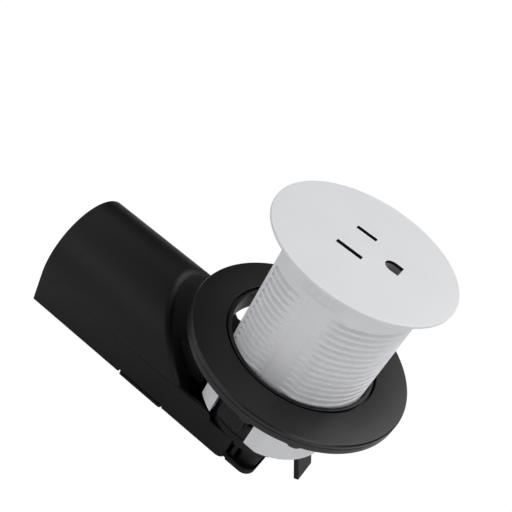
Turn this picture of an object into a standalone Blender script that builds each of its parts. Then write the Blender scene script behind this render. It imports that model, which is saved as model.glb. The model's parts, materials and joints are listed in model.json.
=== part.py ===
"""Desk grommet power outlet, built as separate pieces.

Frame: +Z is up, the origin is the middle of the face plate's top, and the supply
housing points along -X. Sizes are in millimetres. Heights are measured from the
desk surface, which is the underside of the face plate: every mesh is lowered by
the plate's thickness when it becomes an object.
"""

import math

import bmesh
import bpy

MM = 0.001
GAP = 0.3
OVERLAP = 0.4
REACH = 60.0

# Face plate and barrel.
PLATE_RADIUS = 29.2
PLATE_THICK = 0.9
DESK_Z = -PLATE_THICK
PLATE_EDGE = 0.2
SEAT_RADIUS, SEAT_RELIEF = 24.6, 0.15
SPIGOT_OUTER, SPIGOT_INNER, SPIGOT_DEPTH = 18.0, 16.8, 2.2
CREST_RADIUS = 23.2
ROOT_RADIUS = 22.0
BORE_RADIUS = 20.6
BARREL_BOTTOM = -67.6
THREAD_TOP = -9.4
THREAD_PITCH = 2.25
THREAD_TURNS = 20
FRONT_FLAT = 21.6
SIDE_CENTRE_X, SIDE_RADIUS = 31.1, 50.5
SIDE_WALL = 1.0
LAND_EDGE_DEG = 133.4
FOOT_WINDOW_X = (-10.3, 3.9)
FOOT_WINDOW_TOP = -57.0
SIDE_NOTCH_HALF = 16.6

# Receptacle, three-pole 15 A pattern: blade spacing 12.7, earth 11.9 from the blades.
BLADE_Y = 6.35
BLADE_X = -3.1
EARTH_X = 8.8
SLOT_WIDTH = 1.7
LONG_SLOT, SHORT_SLOT = 8.5, 6.85
EARTH_RADIUS, EARTH_FLAT_X = 2.5, 11.4
CORE_RADIUS = 20.2
CORE_INSET = SIDE_WALL + 0.4
CORE_SHOULDER = -SPIGOT_DEPTH - 2 * GAP
CORE_BOTTOM = -26.0
CORE_SPIGOT_RADIUS = 16.4
CORE_COVER_Z = (-28.5, CORE_BOTTOM - GAP)
CORE_SCREW_PLACES = {"left": (3.5, -15.6), "right": (3.5, 15.6)}
CORE_SCREW_HOLE, CORE_SCREW_TIP = 1.5, -16.6
CHAMBER_TOP = -4.6
CONTACT_Z = (-24.8, -6.0)
CONTACT_THICK = 0.5
TAB_HALF, TAB_THICK, TAB_BOTTOM = 1.5, 0.8, -33.5
SHUTTER_X = (-7.9, 1.7)
SHUTTER_Y = (-11.2, 8.9)
SHUTTER_Z = (-2.7, -0.7)
SHUTTER_TRAVEL = 2.6
SPRING_SEAT_Y = 14.4
SPRING_RADIUS, SPRING_WIRE, SPRING_TURNS = 0.75, 0.15, 5

# Clamp ring.
RING_TOP = -40.35
PLATE_BORE = 25.4
RING_RADIUS = 36.6
WASHER_THICK = 1.55
NUT_FLANGE = 2.0
HUB_BORE, HUB_RADIUS = 23.5, 24.7
HUB_TOP = RING_TOP - 0.1
LUG_DEPTH = 0.8
LUG_PAIRS, LUG_PAIR_DEG, LUG_FIRST_DEG = 3, 24.2, -86.2
LUG_HALF_DEG, LUG_RAMP_DEG = 1.4, 2.0

# Barrel foot: chassis and duct.
CHASSIS_Z = (-67.7, -52.0)
CHASSIS_WALL, CHASSIS_FLOOR = 1.6, 1.6
SNAP_X, SNAP_Z, SNAP_CORNER = (-8.2, 1.2), (-65.8, -58.2), 1.6
SNAP_FACE = (19.3, 21.9)
POST_X, POST_Z = (2.2, 3.6), (-63.2, -60.4)
DUCT_HALF, DUCT_Z, DUCT_END = 13.7, (-68.0, -60.0), -18.6
DUCT_WALL = 1.6
DUCT_SUM = -93.8
DUCT_TOP_HALF, DUCT_TOP = 13.1, -59.5

# Base: lid, tray, sleeve and their openings. A slope's SUM is its x plus z.
HOUSING_END = -83.0
BASE_BOTTOM = -81.4
LID_RADIUS, LID_END = 20.4, 12.6
LID_TOP, LID_BOTTOM, SKIRT_BOTTOM = -68.3, -70.9, -72.2
SLEEVE_HALF, SLEEVE_RISE, SLEEVE_CENTRE = 20.3, 22.2, -69.1
SLEEVE_WALL = 1.5
SLEEVE_END = 1.6
SLEEVE_CORNER = 3.0
SLOPE_SUM = -91.2
WALL_HIGH, WALL_LOW = -68.6, -71.2
TRAY_HALF, TRAY_END, TRAY_CORNER, TRAY_FLOOR = 18.5, 11.0, 4.0, 2.2
FLANGE_HALF, TRAY_WALL_END = 19.3, 10.5
BASE_SCREWS = [(5.6, 12.4), (5.6, -12.4), (-9.0, 13.0), (-9.0, -13.0)]
LATCH_X = (-43.2, -25.1)
LATCH_Z = (-81.9, -80.7)
LATCH_STEMS = [(-34.1, 10.0), (-34.1, -10.0)]
LATCH_ROOM = 0.35
SCREW_SEAT = -78.6
INLET_X = (-71.0, -47.0)
INLET_HALF, INLET_Z = 12.0, (-78.8, -59.3)
INLET_SCREW_PLACES = {"left": (-59.0, -14.4), "right": (-59.0, 14.4)}
PIN_PLACES = {"hot": (5.0, -70.0), "ground": (0.0, -66.0), "neutral": (-5.0, -70.0)}
PIVOT = (15.2, -71.4)
LEVER_Y = (-6.6, 3.2)
LEVER_LEAN_DEG = 28.0
HINGE_HOLE, HINGE_PIN = 1.3, 1.0
BASE_HOLE, INLET_HOLE, STEM_HOLE = 1.75, 1.7, 1.9

FINISHES = {
    "white_shell": ((0.72, 0.73, 0.75), 0.42, 0.0),
    "black_shell": ((0.017, 0.017, 0.020), 0.46, 0.0),
    "ring_black": ((0.022, 0.022, 0.026), 0.38, 0.0),
    "core_black": ((0.020, 0.020, 0.022), 0.55, 0.0),
    "shutter_grey": ((0.035, 0.035, 0.038), 0.50, 0.0),
    "contact_brass": ((0.72, 0.52, 0.24), 0.28, 1.0),
    "pin_nickel": ((0.62, 0.60, 0.56), 0.25, 1.0),
    "screw_steel": ((0.50, 0.50, 0.52), 0.32, 1.0),
    "wire_black": ((0.020, 0.020, 0.020), 0.50, 0.0),
    "wire_white": ((0.75, 0.75, 0.73), 0.50, 0.0),
    "wire_green": ((0.03, 0.22, 0.06), 0.50, 0.0),
}


# Outlines and meshes.

def clear_scene():
    for obj in list(bpy.data.objects):
        bpy.data.objects.remove(obj, do_unlink=True)


def arc(radius, start_deg, end_deg, steps, centre=(0.0, 0.0)):
    """Points on a circle from start to end, both ends included."""
    points = []
    for step in range(steps + 1):
        angle = math.radians(start_deg + (end_deg - start_deg) * step / steps)
        x = centre[0] + radius * math.cos(angle)
        points.append((x, centre[1] + radius * math.sin(angle)))
    return points


def circle(radius, steps, centre=(0.0, 0.0)):
    return arc(radius, 0.0, 360.0, steps, centre)[:-1]


def side_limit(azimuth, inset):
    """Distance from the axis to the barrel's flattened -X side, less an inset."""
    turn = math.radians(azimuth)
    across = SIDE_CENTRE_X * math.sin(turn)
    return SIDE_CENTRE_X * math.cos(turn) + math.sqrt((SIDE_RADIUS - inset) ** 2 - across ** 2)


def side_corner(radius, inset=0.0):
    """Azimuth at which a circle round the axis meets the flattened side."""
    x = (SIDE_CENTRE_X ** 2 + radius ** 2 - (SIDE_RADIUS - inset) ** 2) / (2.0 * SIDE_CENTRE_X)
    return math.degrees(math.acos(x / radius))


def sided_circle(radius, inset, steps=44):
    """A circle whose -X side is flattened like the barrel's."""
    corner = side_corner(radius, inset)
    points = arc(radius, -corner, corner, steps)
    side_steps = 9
    for step in range(1, side_steps):
        azimuth = corner + (360.0 - 2.0 * corner) * step / side_steps
        turn = math.radians(azimuth)
        reach = side_limit(azimuth, inset)
        points.append((reach * math.cos(turn), reach * math.sin(turn)))
    return points


def rectangle(x0, x1, y0, y1):
    return [(x0, y0), (x1, y0), (x1, y1), (x0, y1)]


def rounded_rectangle(x0, x1, y0, y1, radius, steps=4):
    points = []
    corners = [(x1, y1, 0), (x0, y1, 90), (x0, y0, 180), (x1, y0, 270)]
    for x, y, turn in corners:
        centre_x = x - radius if x == x1 else x + radius
        centre_y = y - radius if y == y1 else y + radius
        points += arc(radius, turn, turn + 90, steps, (centre_x, centre_y))
    return points


AXIS_ORDER = {
    "Z": lambda a, b, h: (a, b, h),
    "Y": lambda a, b, h: (a, h, b),
    "X": lambda a, b, h: (h, a, b),
}


def add_prism(mesh, outline, low, high, axis="Z"):
    """Adds an extruded outline: its plane is XY for axis Z, XZ for Y and YZ for X."""
    place = AXIS_ORDER[axis]
    rings = []
    for height in (low, high):
        rings.append([mesh.verts.new([c * MM for c in place(a, b, height)]) for a, b in outline])
    count = len(outline)
    for i in range(count):
        j = (i + 1) % count
        mesh.faces.new((rings[0][i], rings[0][j], rings[1][j], rings[1][i]))
    mesh.faces.new(rings[0])
    mesh.faces.new(rings[1])
    return mesh


def add_box(mesh, x, y, z):
    return add_prism(mesh, rectangle(x[0], x[1], y[0], y[1]), z[0], z[1])


def add_turned(mesh, profile_at, azimuths, closed):
    """Adds a solid of revolution whose profile, a list of (radius, z), may vary with azimuth."""
    columns = []
    for azimuth in azimuths:
        turn = math.radians(azimuth)
        column = []
        for radius, z in profile_at(azimuth):
            place = (radius * math.cos(turn) * MM, radius * math.sin(turn) * MM, z * MM)
            column.append(mesh.verts.new(place))
        columns.append(column)
    rows = len(columns[0])
    for here, there in zip(columns, columns[1:] + columns[:1]):
        for row in range(rows if closed else rows - 1):
            below = (row + 1) % rows
            mesh.faces.new((here[row], there[row], there[below], here[below]))
    bmesh.ops.remove_doubles(mesh, verts=mesh.verts, dist=1e-7)
    return mesh


def even_azimuths(steps, extra=()):
    marks = {round(360.0 * step / steps - 180.0, 3) for step in range(steps)}
    for mark in extra:
        marks = {m for m in marks if abs(m - mark) > 1.5}
    return sorted(marks | set(extra))


def finish_mesh(name, mesh):
    bmesh.ops.recalc_face_normals(mesh, faces=mesh.faces)
    bmesh.ops.translate(mesh, verts=mesh.verts, vec=(0.0, 0.0, DESK_Z * MM))
    data = bpy.data.meshes.new(name)
    mesh.to_mesh(data)
    mesh.free()
    obj = bpy.data.objects.new(name, data)
    bpy.context.scene.collection.objects.link(obj)
    return obj


def make_material(obj, finish):
    colour, roughness, metallic = FINISHES[finish]
    material = bpy.data.materials.new(f"{obj.name}_{finish}")
    material.use_nodes = True
    shader = material.node_tree.nodes["Principled BSDF"]
    shader.inputs["Base Color"].default_value = (*colour, 1.0)
    shader.inputs["Roughness"].default_value = roughness
    shader.inputs["Metallic"].default_value = metallic
    obj.data.materials.append(material)


def piece(name, mesh, finish, smooth=False):
    """A visible piece; smooth is for round ones, whose edges over 30 degrees stay sharp."""
    obj = finish_mesh(name, mesh)
    make_material(obj, finish)
    if smooth:
        obj.data.shade_smooth()
        obj.data.set_sharp_from_angle(angle=math.radians(30))
    return obj


def helper(name, mesh):
    """A hidden operand of a Boolean."""
    obj = finish_mesh(name, mesh)
    obj.hide_render = True
    obj.display_type = "WIRE"
    return obj


def combine(obj, operand, operation="DIFFERENCE"):
    modifier = obj.modifiers.new(f"{operation.lower()}_{operand.name}", "BOOLEAN")
    modifier.operation = operation
    modifier.object = operand
    modifier.solver = "EXACT"


def bevel(obj, width, angle_deg=35.0, segments=2):
    modifier = obj.modifiers.new("edge_bevel", "BEVEL")
    modifier.width = width * MM
    modifier.segments = segments
    modifier.limit_method = "ANGLE"
    modifier.angle_limit = math.radians(angle_deg)


def set_origin(obj, x, y, z):
    """Moves the object's origin to a point without moving its shape."""
    place = (x * MM, y * MM, (z + DESK_Z) * MM)
    for vertex in obj.data.vertices:
        for axis in range(3):
            vertex.co[axis] -= place[axis]
    obj.location = place


def wire_path(name, points, radius, finish, smooth_path=True, sides=2):
    """A round lead through points; a smooth path stays inside its control points."""
    curve = bpy.data.curves.new(name, "CURVE")
    curve.dimensions = "3D"
    curve.bevel_depth = radius * MM
    curve.bevel_resolution = sides
    curve.use_fill_caps = True
    spline = curve.splines.new("NURBS" if smooth_path else "POLY")
    spline.points.add(len(points) - 1)
    for target, point in zip(spline.points, points):
        target.co = (point[0] * MM, point[1] * MM, (point[2] + DESK_Z) * MM, 1.0)
    if smooth_path:
        spline.order_u = 3
        spline.use_endpoint_u = True
        curve.resolution_u = 3
    obj = bpy.data.objects.new(name, curve)
    bpy.context.scene.collection.objects.link(obj)
    make_material(obj, finish)
    return obj


# Face plate and barrel.

def earth_outline(grow=0.0):
    """The D-shaped earth opening: round towards the blades, flat away from them."""
    radius = EARTH_RADIUS + grow
    points = arc(radius, 90, 270, 10, (EARTH_X, 0.0))
    flat = EARTH_FLAT_X + grow
    return points + [(flat, -radius), (flat, radius)]


def slot_outline(length, y, grow=0.0):
    half, width = length / 2 + grow, SLOT_WIDTH / 2 + grow
    return rectangle(BLADE_X - half, BLADE_X + half, y - width, y + width)


def add_openings(mesh, low, high, grow=0.0):
    add_prism(mesh, slot_outline(LONG_SLOT, -BLADE_Y, grow), low, high)
    add_prism(mesh, slot_outline(SHORT_SLOT, BLADE_Y, grow), low, high)
    add_prism(mesh, earth_outline(grow), low, high)
    return mesh


def make_face_plate():
    profile = [
        (0.0, PLATE_THICK),
        (PLATE_RADIUS - PLATE_EDGE, PLATE_THICK),
        (PLATE_RADIUS, PLATE_THICK - PLATE_EDGE),
        (PLATE_RADIUS, 0.0),
        (SEAT_RADIUS, 0.0),
        (SEAT_RADIUS, SEAT_RELIEF),
        (SPIGOT_OUTER, SEAT_RELIEF),
        (SPIGOT_OUTER, -SPIGOT_DEPTH),
        (SPIGOT_INNER, -SPIGOT_DEPTH),
        (SPIGOT_INNER, 0.0),
        (0.0, 0.0),
    ]
    mesh = add_turned(bmesh.new(), lambda _: profile, even_azimuths(96), closed=False)
    plate = piece("face_plate", mesh, "white_shell", smooth=True)
    combine(plate, helper("cut_plate_openings", add_openings(bmesh.new(), -1.0, 2.0)))
    return plate


def barrel_profile(azimuth):
    """Radii down the outside of the barrel at one azimuth."""
    turn = math.radians(azimuth)

    def radius_at(radius):
        limits = [radius]
        if abs(math.sin(turn)) > 0.5:
            limits.append(FRONT_FLAT / abs(math.sin(turn)))
        if math.cos(turn) < -0.5:
            limits.append(side_limit(azimuth, 0.0))
        return min(limits)

    threaded = abs(azimuth) < LAND_EDGE_DEG
    rows = [(0.0, -GAP), (radius_at(CREST_RADIUS), -GAP)]
    for turn_index in range(THREAD_TURNS):
        z = THREAD_TOP - turn_index * THREAD_PITCH
        groove = ROOT_RADIUS if threaded else CREST_RADIUS
        rows.append((radius_at(CREST_RADIUS), z))
        rows.append((radius_at(groove), z - THREAD_PITCH / 2))
    rows.append((radius_at(CREST_RADIUS), THREAD_TOP - THREAD_TURNS * THREAD_PITCH))
    rows.append((radius_at(CREST_RADIUS), BARREL_BOTTOM))
    rows.append((0.0, BARREL_BOTTOM))
    return rows


def barrel_azimuths():
    """Even columns, plus the lines where flats and thread ends begin."""
    crest = math.degrees(math.asin(FRONT_FLAT / CREST_RADIUS))
    root = math.degrees(math.asin(FRONT_FLAT / ROOT_RADIUS))
    side = side_corner(CREST_RADIUS)
    marks = [crest, 180 - crest, root, 180 - root, side, LAND_EDGE_DEG - 0.6, LAND_EDGE_DEG]
    return even_azimuths(48, [m * sign for m in marks for sign in (1, -1)])


def make_barrel():
    mesh = add_turned(bmesh.new(), barrel_profile, barrel_azimuths(), closed=False)
    barrel = piece("threaded_barrel", mesh, "white_shell", smooth=True)
    bore = sided_circle(BORE_RADIUS, SIDE_WALL)
    combine(barrel, helper("cut_barrel_bore", add_prism(bmesh.new(), bore, -REACH * 2, REACH)))
    openings = bmesh.new()
    foot = (BARREL_BOTTOM - 2.0, FOOT_WINDOW_TOP)
    for side in ((16.0, 26.0), (-26.0, -16.0)):
        add_box(openings, FOOT_WINDOW_X, side, foot)
    add_box(openings, (-26.0, -11.5), (-SIDE_NOTCH_HALF, SIDE_NOTCH_HALF), (foot[0], foot[1] - 0.5))
    catch_y = (LEVER_Y[0] + 0.8, LEVER_Y[1] - 0.8)
    add_box(openings, (18.0, 26.0), catch_y, (-66.6, -63.3))
    combine(barrel, helper("cut_barrel_openings", openings))
    return barrel


# Receptacle.

def make_core():
    mesh = add_prism(bmesh.new(), sided_circle(CORE_RADIUS, CORE_INSET), CORE_BOTTOM, CORE_SHOULDER)
    core = piece("receptacle_core", mesh, "core_black", smooth=True)
    spigot = add_prism(bmesh.new(), circle(CORE_SPIGOT_RADIUS, 44), CORE_SHOULDER - 1.0, -GAP)
    combine(core, helper("add_core_spigot", spigot), "UNION")
    pockets = bmesh.new()
    add_box(pockets, (SHUTTER_X[0] - GAP, SHUTTER_X[1] + GAP),
            (SHUTTER_Y[0] - GAP, SHUTTER_Y[1] + SHUTTER_TRAVEL + GAP), (SHUTTER_Z[0] - GAP, 1.0))
    combine(core, helper("cut_shutter_pocket", pockets))
    seat = add_box(bmesh.new(), (BLADE_X - 1.4, BLADE_X + 1.4), (SHUTTER_Y[1], SPRING_SEAT_Y), (-3.1, 1.1))
    combine(core, helper("cut_spring_seat", seat))
    combine(core, helper("cut_core_slots", add_openings(bmesh.new(), -9.0, 1.2, 0.1)))
    chambers = bmesh.new()
    bottom = CORE_BOTTOM - 1.0
    for side, half in ((-1, 5.3), (1, 4.5)):
        y = sorted((side * (BLADE_Y - 2.7), side * (BLADE_Y + 2.7)))
        add_box(chambers, (BLADE_X - half, BLADE_X + half), y, (bottom, CHAMBER_TOP))
    add_box(chambers, (EARTH_X - 4.2, EARTH_X + 4.2), (-3.2, 3.2), (bottom, CHAMBER_TOP))
    for x, y in CORE_SCREW_PLACES.values():
        add_prism(chambers, circle(CORE_SCREW_HOLE, 12, (x, y)), bottom, CORE_SCREW_TIP + 0.6)
    combine(core, helper("cut_contact_chambers", chambers))
    return core


def make_core_cover():
    mesh = add_prism(bmesh.new(), sided_circle(CORE_RADIUS, CORE_INSET), *CORE_COVER_Z)
    cover = piece("core_cover", mesh, "core_black", smooth=True)
    holes = bmesh.new()
    for x, y in ((BLADE_X, -BLADE_Y), (BLADE_X, BLADE_Y), (EARTH_X, 0.0)):
        room_x, room_y = TAB_HALF + 0.4, TAB_THICK / 2 + 0.4
        add_box(holes, (x - room_x, x + room_x), (y - room_y, y + room_y), (-40.0, -20.0))
    for x, y in CORE_SCREW_PLACES.values():
        add_prism(holes, circle(CORE_SCREW_HOLE, 12, (x, y)), -40.0, -20.0)
    combine(cover, helper("cut_cover_holes", holes))
    return cover


def clip_outline(y, grip, spread, thick):
    """A spring clip seen along X: a base, two legs that pinch and then flare."""
    low, high = CONTACT_Z
    right = [(spread, low), (spread, low + 9.0), (grip, high - 3.0), (spread - 0.3, high)]
    outer = [(y + a + thick, b) for a, b in right]
    inner = [(y + a, b if b > low else low + thick) for a, b in right]
    mirrored_inner = [(2 * y - a, b) for a, b in reversed(inner)]
    mirrored_outer = [(2 * y - a, b) for a, b in outer]
    return outer + list(reversed(inner)) + list(reversed(mirrored_inner)) + list(reversed(mirrored_outer))


def make_contact(name, x, y, half, grip, spread):
    """Spring clip with a terminal tab that passes down through the rear cover."""
    mesh = add_prism(bmesh.new(), clip_outline(y, grip, spread, CONTACT_THICK), x - half, x + half, "X")
    contact = piece(name, mesh, "contact_brass")
    tab_z = (TAB_BOTTOM, CONTACT_Z[0] + 0.3)
    tab = add_box(bmesh.new(), (x - TAB_HALF, x + TAB_HALF), (y - TAB_THICK / 2, y + TAB_THICK / 2), tab_z)
    combine(contact, helper(f"add_{name}_tab", tab), "UNION")
    return contact


def make_contacts():
    make_contact("neutral_contact", BLADE_X, -BLADE_Y, 4.2, 0.85, 1.6)
    make_contact("hot_contact", BLADE_X, BLADE_Y, 3.4, 0.85, 1.6)
    make_contact("ground_contact", EARTH_X, 0.0, 2.4, 2.1, 2.3)


def make_shutter():
    """A sliding plate whose windows meet the blade slots after its full travel."""
    mesh = add_box(bmesh.new(), SHUTTER_X, SHUTTER_Y, SHUTTER_Z)
    shutter = piece("tamper_shutter", mesh, "shutter_grey")
    windows = bmesh.new()
    add_prism(windows, slot_outline(LONG_SLOT, -BLADE_Y - SHUTTER_TRAVEL, 0.1), -5.0, 1.0)
    add_prism(windows, slot_outline(SHORT_SLOT, BLADE_Y - SHUTTER_TRAVEL, 0.1), -5.0, 1.0)
    combine(shutter, helper("cut_shutter_windows", windows))
    return shutter


def coil(radius, start, end, turns, centre_x, centre_z, steps=10):
    """Points of a helix whose axis runs along Y."""
    points = []
    for step in range(turns * steps + 1):
        turn = 2 * math.pi * step / steps
        along = start + (end - start) * step / (turns * steps)
        place = (centre_x + radius * math.cos(turn), along, centre_z + radius * math.sin(turn))
        points.append(place)
    return points


def make_shutter_spring():
    centre_z = (SHUTTER_Z[0] + SHUTTER_Z[1]) / 2
    start, end = SHUTTER_Y[1] + 0.6, SPRING_SEAT_Y - 0.5
    points = coil(SPRING_RADIUS, start, end, SPRING_TURNS, BLADE_X, centre_z)
    return wire_path("shutter_spring", points, SPRING_WIRE, "screw_steel", smooth_path=False, sides=0)


# Clamp ring.

def make_pressure_plate():
    """A flat washer with a chamfered outer edge."""
    bottom = RING_TOP - WASHER_THICK
    profile = [
        (PLATE_BORE, RING_TOP - 0.2),
        (PLATE_BORE + 0.2, RING_TOP),
        (RING_RADIUS - 0.4, RING_TOP),
        (RING_RADIUS, RING_TOP - 0.45),
        (RING_RADIUS, bottom),
        (PLATE_BORE, bottom),
    ]
    mesh = add_turned(bmesh.new(), lambda _: profile, even_azimuths(72), closed=True)
    return piece("pressure_plate", mesh, "ring_black", smooth=True)


def lug_middles():
    """The azimuths of the grip lugs, which stand in pairs round the rim."""
    middles = []
    for pair in range(LUG_PAIRS):
        first = LUG_FIRST_DEG + pair * 360.0 / LUG_PAIRS
        middles += [first, first + LUG_PAIR_DEG]
    return middles


def nut_profile(azimuth):
    top = RING_TOP - WASHER_THICK - GAP
    bottom = top - NUT_FLANGE
    offset = min(abs((azimuth - middle + 180.0) % 360.0 - 180.0) for middle in lug_middles())
    drop = LUG_DEPTH if offset < LUG_HALF_DEG + LUG_RAMP_DEG / 2 else 0.0
    return [
        (HUB_BORE, HUB_TOP),
        (HUB_RADIUS, HUB_TOP),
        (HUB_RADIUS, top),
        (RING_RADIUS - 0.3, top),
        (RING_RADIUS, top - 0.3),
        (RING_RADIUS, bottom + 0.2 - drop),
        (RING_RADIUS - 0.4, bottom - drop),
        (RING_RADIUS - 3.5, bottom - drop),
        (RING_RADIUS - 4.5, bottom),
        (HUB_RADIUS + 2.5, bottom),
        (HUB_RADIUS + 1.8, bottom - 3.2),
        (HUB_BORE, bottom - 3.2),
    ]


def make_clamp_nut():
    """Flanged nut with grip lugs under its rim; the hub fills the washer's bore."""
    lug_edges = []
    foot = LUG_HALF_DEG + LUG_RAMP_DEG
    for middle in lug_middles():
        for offset in (-foot, -LUG_HALF_DEG, LUG_HALF_DEG, foot):
            lug_edges.append((middle + offset + 180.0) % 360.0 - 180.0)
    mesh = add_turned(bmesh.new(), nut_profile, even_azimuths(60, lug_edges), closed=True)
    return piece("clamp_nut", mesh, "ring_black", smooth=True)


# Barrel foot: chassis and duct.

def make_chassis():
    """A cup inside the barrel foot, with a snap block in each foot window."""
    outline = sided_circle(CORE_RADIUS, CORE_INSET)
    mesh = add_prism(bmesh.new(), outline, *CHASSIS_Z)
    chassis = piece("barrel_chassis", mesh, "black_shell", smooth=True)
    inside = sided_circle(CORE_RADIUS - CHASSIS_WALL, CORE_INSET + CHASSIS_WALL)
    floor_top = CHASSIS_Z[0] + CHASSIS_FLOOR
    hollow = add_prism(bmesh.new(), inside, floor_top, CHASSIS_Z[1] + 5.0)
    combine(chassis, helper("cut_chassis_hollow", hollow))
    blocks = bmesh.new()
    snap = rounded_rectangle(*SNAP_X, *SNAP_Z, SNAP_CORNER)
    for side in (1, -1):
        low, high = sorted(side * y for y in SNAP_FACE)
        add_prism(blocks, snap, low, high, "Y")
        add_box(blocks, POST_X, (low, high), POST_Z)
    combine(chassis, helper("add_snap_blocks", blocks), "UNION")
    bosses = bmesh.new()
    holes = bmesh.new()
    for x, y in BASE_SCREWS:
        add_prism(bosses, circle(3.0, 16, (x, y)), floor_top - OVERLAP, -60.0)
        add_prism(holes, circle(BASE_HOLE, 12, (x, y)), CHASSIS_Z[0] - 2.0, -61.2)
    combine(chassis, helper("add_chassis_bosses", bosses), "UNION")
    duct_y = (-DUCT_HALF + DUCT_WALL, DUCT_HALF - DUCT_WALL)
    add_box(holes, (-21.0, -13.0), duct_y, (DUCT_Z[0] + DUCT_WALL, DUCT_Z[1] - DUCT_WALL))
    add_box(holes, (15.5, 24.0), (LEVER_Y[0] - 1.0, LEVER_Y[1] + 1.0), (-70.0, -61.0))
    combine(chassis, helper("cut_chassis_openings", holes))
    return chassis


def duct_side(low, high):
    """Side view of the duct in XZ between two heights, mitred like the sleeve's slope."""
    return [(DUCT_END, low), (DUCT_END, high), (DUCT_SUM - high, high), (DUCT_SUM - low, low)]


def make_duct():
    """The closed passage from the barrel foot through the slope, with a narrower raised top."""
    low, high = DUCT_Z
    mesh = add_prism(bmesh.new(), duct_side(low, high), -DUCT_HALF, DUCT_HALF, "Y")
    duct = piece("cable_duct", mesh, "black_shell")
    raised = add_prism(bmesh.new(), duct_side(high - OVERLAP, DUCT_TOP), -DUCT_TOP_HALF, DUCT_TOP_HALF, "Y")
    combine(duct, helper("add_duct_top", raised), "UNION")
    half = DUCT_HALF - DUCT_WALL
    passage = add_box(bmesh.new(), (-45.0, -10.0), (-half, half), (low + DUCT_WALL, high - DUCT_WALL))
    combine(duct, helper("cut_duct_passage", passage))
    return duct


# Base: lid, tray, sleeve, latch and lever.

def truncated_circle(radius, x_low, x_high, steps=16):
    """A circle kept only between two values of x."""
    start = math.degrees(math.acos(x_high / radius))
    end = math.degrees(math.acos(max(-1.0, x_low / radius)))
    upper = arc(radius, start, end, steps)
    return upper + [(x, -y) for x, y in reversed(upper)]


def make_lid():
    outline = truncated_circle(LID_RADIUS, -LID_RADIUS + 0.8, LID_END, 24)
    mesh = add_prism(bmesh.new(), outline, LID_BOTTOM, LID_TOP)
    lid = piece("base_lid", mesh, "black_shell", smooth=True)
    below = bmesh.new()
    skirt = truncated_circle(LID_RADIUS, SLEEVE_END + GAP, LID_END)
    add_prism(below, skirt, SKIRT_BOTTOM, LID_BOTTOM + 0.2)
    combine(lid, helper("add_lid_skirt", below), "UNION")
    ears = bmesh.new()
    ear_shape = [(LID_END - 1.5, -73.0), (PIVOT[0], -73.8), (PIVOT[0] + 2.2, -72.4),
                 (PIVOT[0] + 2.2, -70.4), (PIVOT[0] + 0.8, -69.3), (LID_END - 1.5, -69.3)]
    for low, high in ((LEVER_Y[0] - 2.1, LEVER_Y[0] - GAP), (LEVER_Y[1] + GAP, LEVER_Y[1] + 2.1)):
        add_prism(ears, ear_shape, low, high, "Y")
    combine(lid, helper("add_lever_ears", ears), "UNION")
    holes = bmesh.new()
    for x, y in BASE_SCREWS:
        add_prism(holes, circle(BASE_HOLE, 12, (x, y)), -80.0, -60.0)
    add_prism(holes, circle(HINGE_HOLE, 14, PIVOT), -12.0, 8.0, "Y")
    combine(lid, helper("cut_lid_holes", holes))
    return lid


def tray_outline(half, end, corner):
    right = arc(corner, 0, 90, 5, (end - corner, half - corner))
    left = HOUSING_END + 3.0
    return right + [(left, half), (left, -half)] + [(x, -y) for x, y in reversed(right)]


def make_tray():
    top = BASE_BOTTOM + TRAY_FLOOR
    mesh = add_prism(bmesh.new(), tray_outline(TRAY_HALF, TRAY_END, TRAY_CORNER), BASE_BOTTOM, top)
    tray = piece("base_tray", mesh, "black_shell", smooth=True)
    flange = tray_outline(FLANGE_HALF, TRAY_END, TRAY_CORNER)
    flange = add_prism(bmesh.new(), [(max(x, SLEEVE_END + GAP), y) for x, y in flange], BASE_BOTTOM, top)
    combine(tray, helper("add_tray_flange", flange), "UNION")
    foot = top - OVERLAP
    wall_top = SKIRT_BOTTOM - GAP
    walls = bmesh.new()
    outer = tray_outline(17.3, TRAY_WALL_END, 3.4)
    add_prism(walls, [(max(x, 4.8), y) for x, y in outer], foot, wall_top)
    combine(tray, helper("add_tray_walls", walls), "UNION")
    hollow = tray_outline(15.7, TRAY_WALL_END - 1.6, 2.0)
    hollow = add_prism(bmesh.new(), [(max(x, 1.0), y) for x, y in hollow], top, wall_top + 5.0)
    combine(tray, helper("cut_tray_hollow", hollow))
    fittings = bmesh.new()
    for x, y in BASE_SCREWS:
        add_prism(fittings, circle(4.1, 18, (x, y)), foot, wall_top)
    for side in (1, -1):
        add_box(fittings, (1.8, 3.2), sorted((side * 16.6, side * 18.2)), (foot, -73.8))
        add_box(fittings, (-78.0, -24.0), sorted((side * 17.0, side * 18.1)), (foot, top + 2.6))
    combine(tray, helper("add_tray_fittings", fittings), "UNION")
    holes = bmesh.new()
    for x, y in BASE_SCREWS:
        add_prism(holes, circle(BASE_HOLE, 12, (x, y)), -90.0, -60.0)
    for x, y in INLET_SCREW_PLACES.values():
        add_prism(holes, circle(INLET_HOLE, 12, (x, y)), -90.0, -70.0)
    for x, y in LATCH_STEMS:
        add_prism(holes, circle(STEM_HOLE, 14, (x, y)), -90.0, -70.0)
    combine(tray, helper("cut_tray_holes", holes))
    recesses = bmesh.new()
    for x, y in BASE_SCREWS:
        add_prism(recesses, circle(2.9, 16, (x, y)), -90.0, SCREW_SEAT)
    add_box(recesses, (LATCH_X[0] - LATCH_ROOM, LATCH_X[1] + LATCH_ROOM), (-25.0, 25.0),
            (-90.0, LATCH_Z[1] + LATCH_ROOM))
    combine(tray, helper("cut_tray_recesses", recesses))
    return tray


def arch_outline(half, rise, bottom, steps=28):
    """Arched section in YZ: half an ellipse on two straight sides."""
    points = []
    for step in range(steps + 1):
        turn = math.pi * step / steps
        points.append((half * math.cos(turn), SLEEVE_CENTRE + rise * math.sin(turn)))
    return points + [(-half, bottom), (half, bottom)]


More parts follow.
